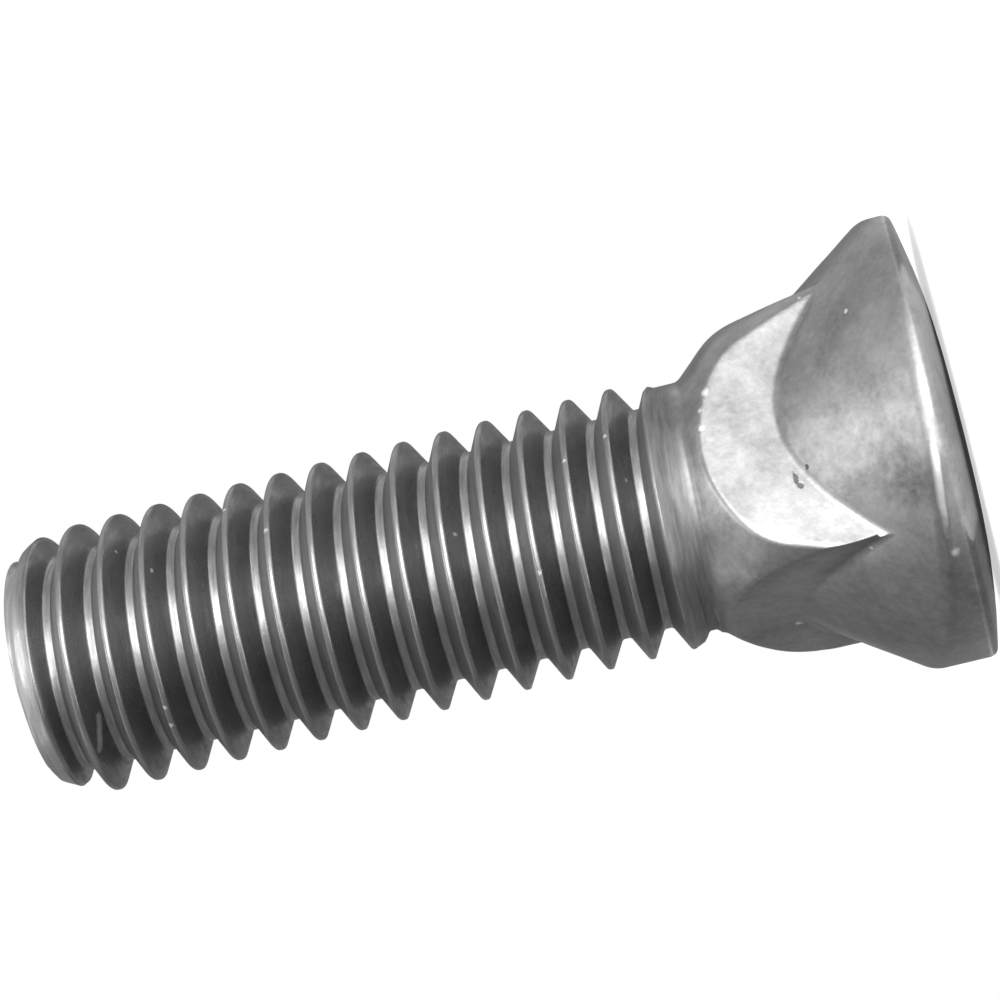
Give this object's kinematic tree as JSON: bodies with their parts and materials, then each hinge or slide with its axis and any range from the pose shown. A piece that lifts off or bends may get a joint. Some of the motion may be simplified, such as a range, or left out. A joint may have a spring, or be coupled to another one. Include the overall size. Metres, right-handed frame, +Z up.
{
  "type": "plow bolt",
  "caption": "Forged countersunk bolt with a square neck under a round conical head and a rolled thread along the shank.",
  "frame": {"origin": "on the shank's axis, in the plane of the head's face on which the bolt stands", "axes": "+Z up the shank to the threaded end, and the square neck's flats face +X, -X, +Y and -Y"},
  "size_m": [0.0203, 0.0203, 0.0436],
  "materials": {
    "steel": "bare grey, satin where it was forged and brighter where the thread was rolled"
  },
  "bodies": {
    "root": {"plow_bolt": "steel"}
  },
  "joints": []
}
